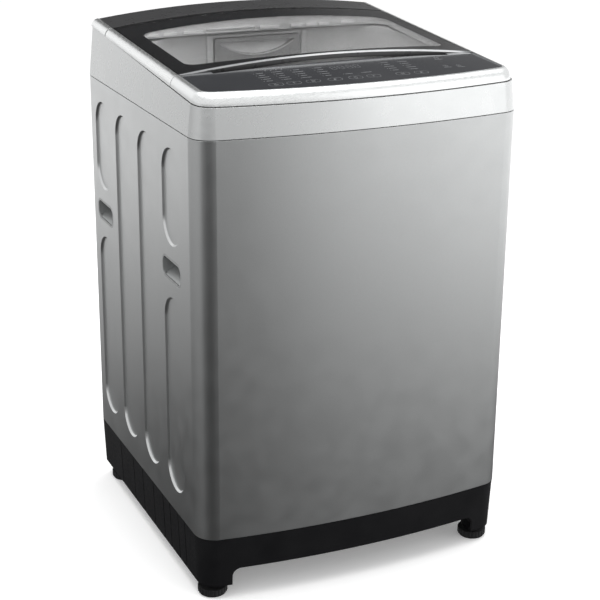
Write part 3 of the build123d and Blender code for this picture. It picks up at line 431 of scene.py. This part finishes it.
deck_coat = {"Coat Weight": 0.5, "Coat Roughness": 0.25}
deck_black = new_finish("deck_black", (0.03, 0.03, 0.031), 0.3, 0.0, deck_coat)
vary(deck_black, "Roughness", cloudy(deck_black, 20), 0.26, 0.34)
relief(deck_black, [(cloudy(deck_black, 3.0), 0.004, 0.2)], edge_mm=1.0)
dress(deck_black, "rear_deck", "lid_lip", "lid_bumpers")

border_print = new_finish("border_print", (0.006, 0.006, 0.007), 0.5, 0.0, {"Specular IOR Level": 0.0})
vary_colour(border_print, cloudy(border_print, 2), (0.005, 0.005, 0.006), (0.008, 0.008, 0.009))
dress(border_print, "lid_border")

panel_glass = new_finish("panel_glass_black", (0.03, 0.031, 0.034), 0.14, 0.0, {"Specular IOR Level": 0.35})
vary_colour(panel_glass, cloudy(panel_glass, 90), (0.027, 0.028, 0.031), (0.033, 0.034, 0.037))
dress(panel_glass, "panel_glass")

tray_black = new_finish("panel_tray_black", (0.006, 0.006, 0.007), 0.5, 0.0, {"Specular IOR Level": 0.2})
vary(tray_black, "Roughness", cloudy(tray_black, 3), 0.38, 0.52)
relief(tray_black, [(cells(tray_black, 0.9, output="Distance"), 0.03, 0.3)])
dress(tray_black, "control_housing", "display_module")

# %% [markdown]
# ## The lid's glass
# It is clear toughened glass, a few millimetres thick. Real glass bends lamp light in ways
# that cost a renderer long hours, so light on its way from a lamp passes straight through,
# while everything the eye sees still goes through the refracting shader.

# %% Make the window
glass = new_finish(
    "lid_window_glass", (0.98, 0.98, 0.98), 0.02, 0.0, {"Transmission Weight": 1.0, "IOR": 1.5}
)
ray_kind = add_node(glass, "ShaderNodeLightPath")
clear = add_node(glass, "ShaderNodeBsdfTransparent")
clear.inputs["Color"].default_value = (0.96, 0.96, 0.96, 1)
choice = add_node(glass, "ShaderNodeMixShader")
link(glass, ray_kind.outputs["Is Shadow Ray"], choice.inputs["Fac"])
link(glass, shader_of(glass).outputs[0], choice.inputs[1])
link(glass, clear.outputs[0], choice.inputs[2])
link(glass, choice.outputs[0], glass.node_tree.nodes["Material Output"].inputs["Surface"])
vary(glass, "Roughness", cloudy(glass, 60), 0.0, 0.03)
dress(glass, "lid_glass")

# The ground edge of the glass is printed over too, so no light leaks out of it.
EDGE_TILT = 0.9
edge_faces = 0
lid_sheet = parts["lid_glass"].data
lid_sheet.materials.append(border_print)
for face in lid_sheet.polygons:
    if abs(face.normal.z) < EDGE_TILT:
        face.material_index = 1
        edge_faces += 1
print("printed", edge_faces, "edge faces of the glass")

# %% [markdown]
# ## Mouldings inside
# The well, the drawer and the lid's frame are light grey plastic with a satin moulded skin.
# Hidden plastics, such as the tub, are plain and a little milky. A very soft grain is all a
# satin mould leaves.


# %% Mould the plastics
def moulded(name, colour, roughness, grain_mm=0.7, gloss=0.5):
    plastic = new_finish(name, colour, roughness, 0.0, {"Specular IOR Level": gloss})
    dark = [0.93 * c for c in colour]
    light = [min(1.0, 1.04 * c) for c in colour]
    vary_colour(plastic, cloudy(plastic, 45), dark, light)
    vary(plastic, "Roughness", cloudy(plastic, 6), roughness - 0.05, roughness + 0.05)
    relief(plastic, [(cloudy(plastic, grain_mm, detail=3), 0.015, 0.2)], edge_mm=0.8)
    return plastic


liner_grey = moulded("liner_grey", (0.64, 0.64, 0.64), 0.24)
dress(liner_grey, "opening_liner", "dispenser_housing", "lid_frame", "drawer_tray")
drawer_grey = moulded("drawer_grey", (0.4, 0.4, 0.4), 0.28)
dress(drawer_grey, "drawer_front")
tub_plastic = moulded("tub_plastic", (0.6, 0.61, 0.6), 0.4)
dress(tub_plastic, "outer_tub", "tub_cover", "drum_base", "drain_outlet")
ring_plastic = moulded("ring_plastic", (0.5, 0.51, 0.52), 0.3)
dress(ring_plastic, "balance_ring", "pulsator", "lint_filters")
# White plastic for the real clips; the drawer's grip also wears it as painted light and a painted highlight.
white_clips_and_grip_light = moulded("white_clips_and_grip_light", (0.82, 0.82, 0.82), 0.25)
cap_plastic = moulded("cap_plastic", (0.32, 0.33, 0.35), 0.3)
dress(cap_plastic, "pulsator_cap")
valve_plastic = moulded("valve_plastic", (0.62, 0.62, 0.58), 0.4)
dress(valve_plastic, "inlet_valves", "drain_valve", "lid_switch")
foot_grey = moulded("foot_grey", (0.02, 0.02, 0.021), 0.45, grain_mm=1.0, gloss=0.4)
dress(foot_grey, "foot_front_left", "foot_front_right", "foot_rear_left", "foot_rear_right")
rubber = moulded("rubber_black", (0.018, 0.018, 0.018), 0.7, grain_mm=0.5, gloss=0.3)
dress(rubber, "main_seal", "drive_belt", "power_gland")

# %% [markdown]
# ## Metals inside and behind
# The back and the brackets are galvanised sheet, where zinc freezes into crystals as large
# as a fingernail. The drum is stainless sheet, brushed round and round by rollers. Rods,
# shafts and screws are drawn or turned and then plated.

# %% Galvanise the sheets
zinc = new_finish("galvanised_steel", (0.5, 0.51, 0.52), 0.42, 0.95)
spangle = cells(zinc, 14)
vary_colour(zinc, spangle, (0.47, 0.48, 0.49), (0.54, 0.55, 0.56), 0.1, 0.9)
vary(zinc, "Roughness", spangle, 0.38, 0.44)
relief(zinc, [(cloudy(zinc, 1.5), 0.01, 0.15)], edge_mm=0.8)
dress(zinc, "rear_cover", "rear_service_cover", "hanger_plates", "drive_plate", "hinge_brackets")

# %% Brush the drum and turn the shafts
drum_steel = new_finish("drum_stainless", (0.62, 0.63, 0.64), 0.28, 1.0)
rolling = cloudy(drum_steel, 0.8, (0.03, 0.03, 1), detail=4)
vary_colour(drum_steel, rolling, (0.54, 0.55, 0.56), (0.7, 0.71, 0.72))
vary(drum_steel, "Roughness", rolling, 0.22, 0.34)
relief(drum_steel, [(rolling, 0.01, 0.25)], edge_mm=0.6)
dress(drum_steel, "wash_drum")

plated_steel = new_finish("bright_steel", (0.68, 0.68, 0.7), 0.24, 1.0)
turning = cloudy(plated_steel, 0.5, (0.2, 0.2, 1))
vary_colour(plated_steel, cloudy(plated_steel, 18), (0.6, 0.6, 0.62), (0.74, 0.74, 0.75))
vary(plated_steel, "Roughness", turning, 0.18, 0.32)
relief(plated_steel, [(turning, 0.01, 0.2)])
dress(
    plated_steel,
    "rear_screws",
    "suspension_rods",
    "suspension_springs",
    "hinge_pins",
    "wash_shaft",
    "spin_shaft",
    "motor_shaft",
)

cast_alloy = new_finish("pulley_alloy", (0.52, 0.53, 0.54), 0.42, 0.9)
vary_colour(cast_alloy, cloudy(cast_alloy, 6), (0.46, 0.47, 0.48), (0.58, 0.59, 0.6))
relief(cast_alloy, [(cloudy(cast_alloy, 0.8, detail=4), 0.05, 0.3)], edge_mm=0.6)
dress(cast_alloy, "motor_pulley", "drive_pulley")

motor_paint = new_finish("motor_paint", (0.03, 0.032, 0.035), 0.38)
vary_colour(motor_paint, cloudy(motor_paint, 25), (0.022, 0.024, 0.026), (0.04, 0.042, 0.045))
relief(motor_paint, [(cloudy(motor_paint, 2.0, detail=4), 0.05, 0.3)], edge_mm=0.8)
dress(motor_paint, "motor_body", "gearbox")

# %% Print the circuit board
board_green = new_finish("circuit_green", (0.02, 0.12, 0.05), 0.3)
tracks = add_node(board_green, "ShaderNodeTexBrick")
tracks.inputs["Scale"].default_value = 220
tracks.inputs["Color1"].default_value = (0.015, 0.1, 0.04, 1)
tracks.inputs["Color2"].default_value = (0.02, 0.13, 0.055, 1)
tracks.inputs["Mortar"].default_value = (0.04, 0.2, 0.08, 1)
link(board_green, pattern_place(board_green), tracks.inputs["Vector"])
link(board_green, tracks.outputs["Color"], shader_of(board_green).inputs["Base Color"])
dress(board_green, "control_board")

# %% Colour the floor
# A catalogue floor is a light table: it glows a little, so the far end doesn't turn grey.
floor_pale = new_finish("floor_pale", (0.9, 0.9, 0.9), 0.9, 0.0, {"Specular IOR Level": 0.1})
shader_of(floor_pale).inputs["Emission Color"].default_value = (1, 1, 1, 1)
FLOOR_GLOW = 0.2
shader_of(floor_pale).inputs["Emission Strength"].default_value = FLOOR_GLOW
vary_colour(floor_pale, cloudy(floor_pale, 900), (0.895, 0.895, 0.895), (0.905, 0.905, 0.905))
floor_mesh.materials.append(floor_pale)

# %% [markdown]
# ## Pieces too fine for the engineering model
# Some things are real but too thin or too small to engineer: the print on the panel, the
# clips under the lid, the threads of the water inlets. Each becomes a small mesh of its own,
# built corner by corner in the machine's frame, and rides on the body it is fixed to.


# %% Build a fine piece
def fine_piece(name, corners, faces, finish, body):
    """A mesh in the machine's frame, in metres, fixed to a body."""
    mesh = bpy.data.meshes.new(name)
    mesh.from_pydata([tuple(corner) for corner in corners], [], faces)
    shape = bmesh.new()
    shape.from_mesh(mesh)
    bmesh.ops.recalc_face_normals(shape, faces=shape.faces)
    shape.to_mesh(mesh)
    shape.free()
    mesh.materials.append(finish)
    piece = bpy.data.objects.new(name, mesh)
    bpy.context.scene.collection.objects.link(piece)
    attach(piece, body)
    print(name, "has", len(corners), "corners and rides on", body)
    return piece


class Strokes:
    """Collects flat shapes in millimetres, to be laid on a surface as one piece."""

    def __init__(self):
        self.points = []
        self.faces = []

    def patch(self, outline):
        """A filled shape."""
        first = len(self.points)
        self.points += outline
        self.faces.append(tuple(range(first, len(self.points))))

    def ring(self, outer, inner):
        """A band between two outlines with the same number of points."""
        first = len(self.points)
        count = len(outer)
        self.points += outer + inner
        for i in range(count):
            j = (i + 1) % count
            self.faces.append((first + i, first + j, first + count + j, first + count + i))


# %% Flat outlines
def round_box(x, y, width, depth, radius, steps=5):
    """The outline of a rectangle with round corners."""
    outline = []
    for turn, (sx, sy) in enumerate(((1, 1), (-1, 1), (-1, -1), (1, -1))):
        cx = x + sx * (width / 2 - radius)
        cy = y + sy * (depth / 2 - radius)
        for step in range(steps + 1):
            angle = math.radians(90 * (turn + step / steps))
            outline.append((cx + radius * math.cos(angle), cy + radius * math.sin(angle)))
    return outline


def disc(x, y, radius, steps=16):
    turns = [2 * math.pi * i / steps for i in range(steps)]
    return [(x + radius * math.cos(t), y + radius * math.sin(t)) for t in turns]


def bar(x, y, length, width, degrees=0.0):
    """A straight dash at an angle."""
    along = Vector((math.cos(math.radians(degrees)), math.sin(math.radians(degrees))))
    across = Vector((-along.y, along.x)) * width / 2
    along = along * length / 2
    middle = Vector((x, y))
    ends = (along + across, across - along, -along - across, along - across)
    return [tuple(middle + end) for end in ends]


# %% [markdown]
# ## The print on the panel
# Touch keys are printed on the back of the panel glass: a rounded frame round each key, a
# small sign in it, and short lines of words above. The words are only dashes here, so that no
# text or mark is copied. We lay the print a hair above the glass by dropping a plumb line from
# each point, which follows the gentle curve exactly. An image texture would be quicker to
# draw, but flat shapes stay sharp at any distance.

# %% Lay out the keys
# All in millimetres, in the machine's frame.
KEY_PLACES = (-152, -120, -85, -45, -7, 27, 82, 118)
KEY_Y = -250
KEY_SIZE = (26, 14)
KEY_CORNER = 6.5
FRAME_LINE = 0.6
SIGN_LINE = 0.8
WORD_ROWS = 5
WORD_STEP = 11
DISPLAY_HALF = 40
panel_ink = Strokes()


def draw_sign(kind, x, y):
    """A plain sign inside a key: a switch, a plus, three lines or a start arrow."""
    if kind == 0:
        panel_ink.ring(disc(x, y, 3.4), disc(x, y, 2.7))
        panel_ink.patch(bar(x, y + 2.6, 3.6, SIGN_LINE, 90))
    elif kind == 1:
        panel_ink.patch(bar(x, y, 6.4, SIGN_LINE))
        panel_ink.patch(bar(x, y, SIGN_LINE, 6.4))
    elif kind == 2:
        for step in (-2.4, 0, 2.4):
            panel_ink.patch(bar(x, y + step, 7, SIGN_LINE))
    else:
        panel_ink.patch([(x - 2.4, y - 3), (x + 3.4, y), (x - 2.4, y + 3)])


for number, key_x in enumerate(KEY_PLACES):
    outer = round_box(key_x, KEY_Y, *KEY_SIZE, KEY_CORNER)
    inner_size = [side - 2 * FRAME_LINE for side in KEY_SIZE]
    panel_ink.ring(outer, round_box(key_x, KEY_Y, *inner_size, KEY_CORNER - FRAME_LINE))
    draw_sign(number % 4, key_x, KEY_Y)
    for row in range(WORD_ROWS):
        row_y = KEY_Y + 22 + WORD_STEP * row
        # The words above the middle keys leave room for the display.
        if abs(key_x) > DISPLAY_HALF or row < 1:
            word_length = 11 + 3 * ((number + row) % 3)
            panel_ink.patch(bar(key_x - 2, row_y, word_length, 1.5))
            panel_ink.patch(disc(key_x - 12, row_y, 0.9, 10))

# %% Lay out the lights and the lone signs
LIGHT_ORIGIN = (-139, -173)
LONE_SIGNS = ((190, -172), (180, -223), (205, -225))
for column in range(4):
    for row in range(2):
        panel_ink.patch(disc(LIGHT_ORIGIN[0] + 10 * column, LIGHT_ORIGIN[1] + 12 * row, 1.2, 10))
for sign_x, sign_y in LONE_SIGNS:
    panel_ink.ring(disc(sign_x, sign_y, 4.6), disc(sign_x, sign_y, 3.9))
    panel_ink.patch(bar(sign_x, sign_y, 5, SIGN_LINE, 35))
    panel_ink.patch(bar(sign_x, sign_y - 9, 16, 1.3))
print("the panel has", len(KEY_PLACES), "keys and", len(panel_ink.faces), "printed faces")

# %% The unlit digits
SEGMENTS = ((0, 8, 0), (0, 0, 0), (0, -8, 0), (-4.6, 4, 90), (4.6, 4, 90), (-4.6, -4, 90), (4.6, -4, 90))
DIGIT_PLACES = (-21, -7, 9, 23)
DIGIT_Y = -192
panel_digits = Strokes()
for digit_x in DIGIT_PLACES:
    for segment_x, segment_y, turn in SEGMENTS:
        panel_digits.patch(bar(digit_x + segment_x, DIGIT_Y + segment_y, 6.4, 1.3, turn))
for dot_y in (DIGIT_Y - 4, DIGIT_Y + 4):
    panel_digits.patch(disc(1, dot_y, 1.0, 10))


# %% Lay the print on the glass
ABOVE_ALL = 2.0


def surface_tree(name):
    """A part's surface in the machine's frame, for plumb lines."""
    part = parts[name]
    corners = [part.matrix_world @ corner.co for corner in part.data.vertices]
    return BVHTree.FromPolygons(corners, [tuple(face.vertices) for face in part.data.polygons])


def laid_on(tree, points, lift_mm):
    """Drops flat points onto a surface from above and lifts them off it a little."""
    laid = []
    for x, y in points:
        hit = tree.ray_cast(Vector((x * MM, y * MM, ABOVE_ALL)), Vector((0, 0, -1)))[0]
        laid.append(hit + Vector((0, 0, lift_mm * MM)))
    return laid


print_grey = new_finish("print_grey", (0.16, 0.165, 0.17), 0.5)
vary_colour(print_grey, cloudy(print_grey, 3), (0.13, 0.135, 0.14), (0.19, 0.195, 0.2))
digit_grey = new_finish("digit_grey", (0.085, 0.087, 0.092), 0.4)
vary_colour(digit_grey, cloudy(digit_grey, 3), (0.075, 0.077, 0.082), (0.095, 0.097, 0.102))
panel_surface = surface_tree("panel_glass")
PRINT_LIFT_MM = 0.08
prints = (("panel_marks", panel_ink, print_grey), ("panel_digits", panel_digits, digit_grey))
for name, strokes, ink in prints:
    laid = laid_on(panel_surface, strokes.points, PRINT_LIFT_MM)
    fine_piece(name, laid, strokes.faces, ink, "cabinet")


# %% [markdown]
# ## Clips, frames and threads
# Under the rear edge of the window a row of white clips holds the glass to its frame. A raised
# frame surrounds the drawer's doorway. The drawer's half-moon grip gets a white lining, which is
# painted light standing for light in its shaded recess, and a white lip along its lower edge,
# which is a painted highlight. At the back, the water inlets carry the thread that a hose nut grips.
# A thread is a spiral, but at this depth plain rings look the same and are simpler, so the
# threads are rings.


# %% Blocks and rings
def block(corners, faces, low, high, chamfer):
    """Adds a box with chamfered upright edges, from two opposite corners in millimetres."""
    first = len(corners)
    x0, y0, z0 = low
    x1, y1, z1 = high
    c = chamfer
    plan = [
        (x0 + c, y0), (x1 - c, y0), (x1, y0 + c), (x1, y1 - c),
        (x1 - c, y1), (x0 + c, y1), (x0, y1 - c), (x0, y0 + c),
    ]
    corners += [Vector((x, y, z)) * MM for z in (z0, z1) for x, y in plan]
    faces.append(tuple(range(first, first + 8)))
    faces.append(tuple(range(first + 8, first + 16)))
    for i in range(8):
        j = (i + 1) % 8
        faces.append((first + i, first + j, first + 8 + j, first + 8 + i))


def ridge_ring(corners, faces, centre, radius, ridge, half_width, steps=48):
    """Adds a ridge of triangular section round a pipe that runs along Y."""
    first = len(corners)
    x, y, z = centre
    section = ((radius, -half_width), (radius + ridge, 0), (radius, half_width))
    for step in range(steps):
        turn = 2 * math.pi * step / steps
        for reach, along in section:
            place = Vector((x + reach * math.cos(turn), y + along, z + reach * math.sin(turn)))
            corners.append(place * MM)
    for step in range(steps):
        here = first + 3 * step
        there = first + 3 * ((step + 1) % steps)
        for i, j in ((0, 1), (1, 2), (2, 0)):
            faces.append((here + i, there + i, there + j, here + j))


# %% Wind the inlet threads
INLET_PLACES = (170, 225)
INLET_HEIGHT = 900
THREAD_START_Y = 289.5
THREAD_PITCH = 2.3
THREAD_ROOT = 12.9
thread_corners, thread_faces = [], []
for inlet_x in INLET_PLACES:
    for turn in range(4):
        ring_place = (inlet_x, THREAD_START_Y + THREAD_PITCH * turn, INLET_HEIGHT)
        ridge_ring(thread_corners, thread_faces, ring_place, THREAD_ROOT, 0.75, 0.8)
fine_piece("inlet_threads", thread_corners, thread_faces, valve_plastic, "cabinet")

# %% Clip the glass
CLIP_SPANS = ((-244, -216), (-204, -178), (-164, -126), (-9, 30), (54, 80), (86, 109), (113, 136), (160, 190))


def rim_face(x):
    """How far back the lid frame's inner rear rim stands at a place along it."""
    return 158.5 - 7.0 * (x / 250) ** 2


clip_corners, clip_faces = [], []
for start, end in CLIP_SPANS:
    face_y = rim_face((start + end) / 2)
    block(clip_corners, clip_faces, (start, face_y - 4, 936), (end, face_y + 0.4, 941), 1.0)
for low in (934.6, 940.8):
    block(clip_corners, clip_faces, (-120, 154.2, low), (-18, 158.4, low + 1.4), 0.5)
for start in (-120, -19.6):
    block(clip_corners, clip_faces, (start, 154.3, 936), (start + 1.6, 158.4, 940.8), 0.4)
fine_piece("lid_clips", clip_corners, clip_faces, white_clips_and_grip_light, "lid")

# %% Frame the drawer's doorway
surround_corners, surround_faces = [], []
for start in (-114, 80.5):
    block(surround_corners, surround_faces, (start, 163.4, 863), (start + 13.5, 168.2, 927), 2.2)
block(surround_corners, surround_faces, (-101, 164.2, 922.8), (81, 168.2, 927), 1.0)
fine_piece("drawer_surround", surround_corners, surround_faces, liner_grey, "cabinet")

# %% Line the drawer's grip with painted light and a painted highlight
GRIP_RADIUS = 132.0
GRIP_MIDDLE = (-10.0, 1019.0)


def grip_arc(radius, half_angle, steps=24):
    """Points along the lower edge of the half-moon grip, from left to right."""
    turns = [math.radians(half_angle * (2 * i / steps - 1)) for i in range(steps + 1)]
    return [(GRIP_MIDDLE[0] + radius * math.sin(t), GRIP_MIDDLE[1] - radius * math.cos(t)) for t in turns]


def upright(points, y):
    return [Vector((x, y, z)) * MM for x, z in points]


# The pale lining is painted light: its white colour stands for light on the back of the recess, where shade
# falls.
PAD_Y = 173.3
pad = upright(grip_arc(GRIP_RADIUS - 0.8, 35.6), PAD_Y)
fine_piece("drawer_grip_painted_light", pad, [tuple(range(len(pad)))], white_clips_and_grip_light, "drawer")

# The lip is a low ridge whose white colour is a painted highlight along the grip's lower edge.
LIP_SECTION = ((0.1, 165.1), (0.6, 163.9), (2.0, 165.1))
lip_rows = [upright(grip_arc(GRIP_RADIUS + reach, 35.4), y) for reach, y in LIP_SECTION]
lip_corners = [corner for row in lip_rows for corner in row]
count = len(lip_rows[0])
lip_faces = []
for i in range(count - 1):
    for row in range(2):
        here = row * count + i
        lip_faces.append((here, here + 1, here + count + 1, here + count))
fine_piece("drawer_grip_lip_highlight", lip_corners, lip_faces, white_clips_and_grip_light, "drawer")

# %% [markdown]
# ## The springs' own piece
# The tub rests on four coil springs: their feet stand in cups on fixed rods, and their tops
# move with the tub. A rigid copy would stab through the tub's lugs when it sinks. We copy the
# coils into a piece of their own in the machine's frame and hide the rigid springs.

# %% Coil the springs
coil_source = parts["suspension_springs"]
coil_mesh = coil_source.data.copy()
coil_mesh.transform(coil_source.matrix_world)
coil_springs = bpy.data.objects.new("coil_springs", coil_mesh)
bpy.context.scene.collection.objects.link(coil_springs)
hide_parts("suspension_springs")
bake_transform(coil_springs)
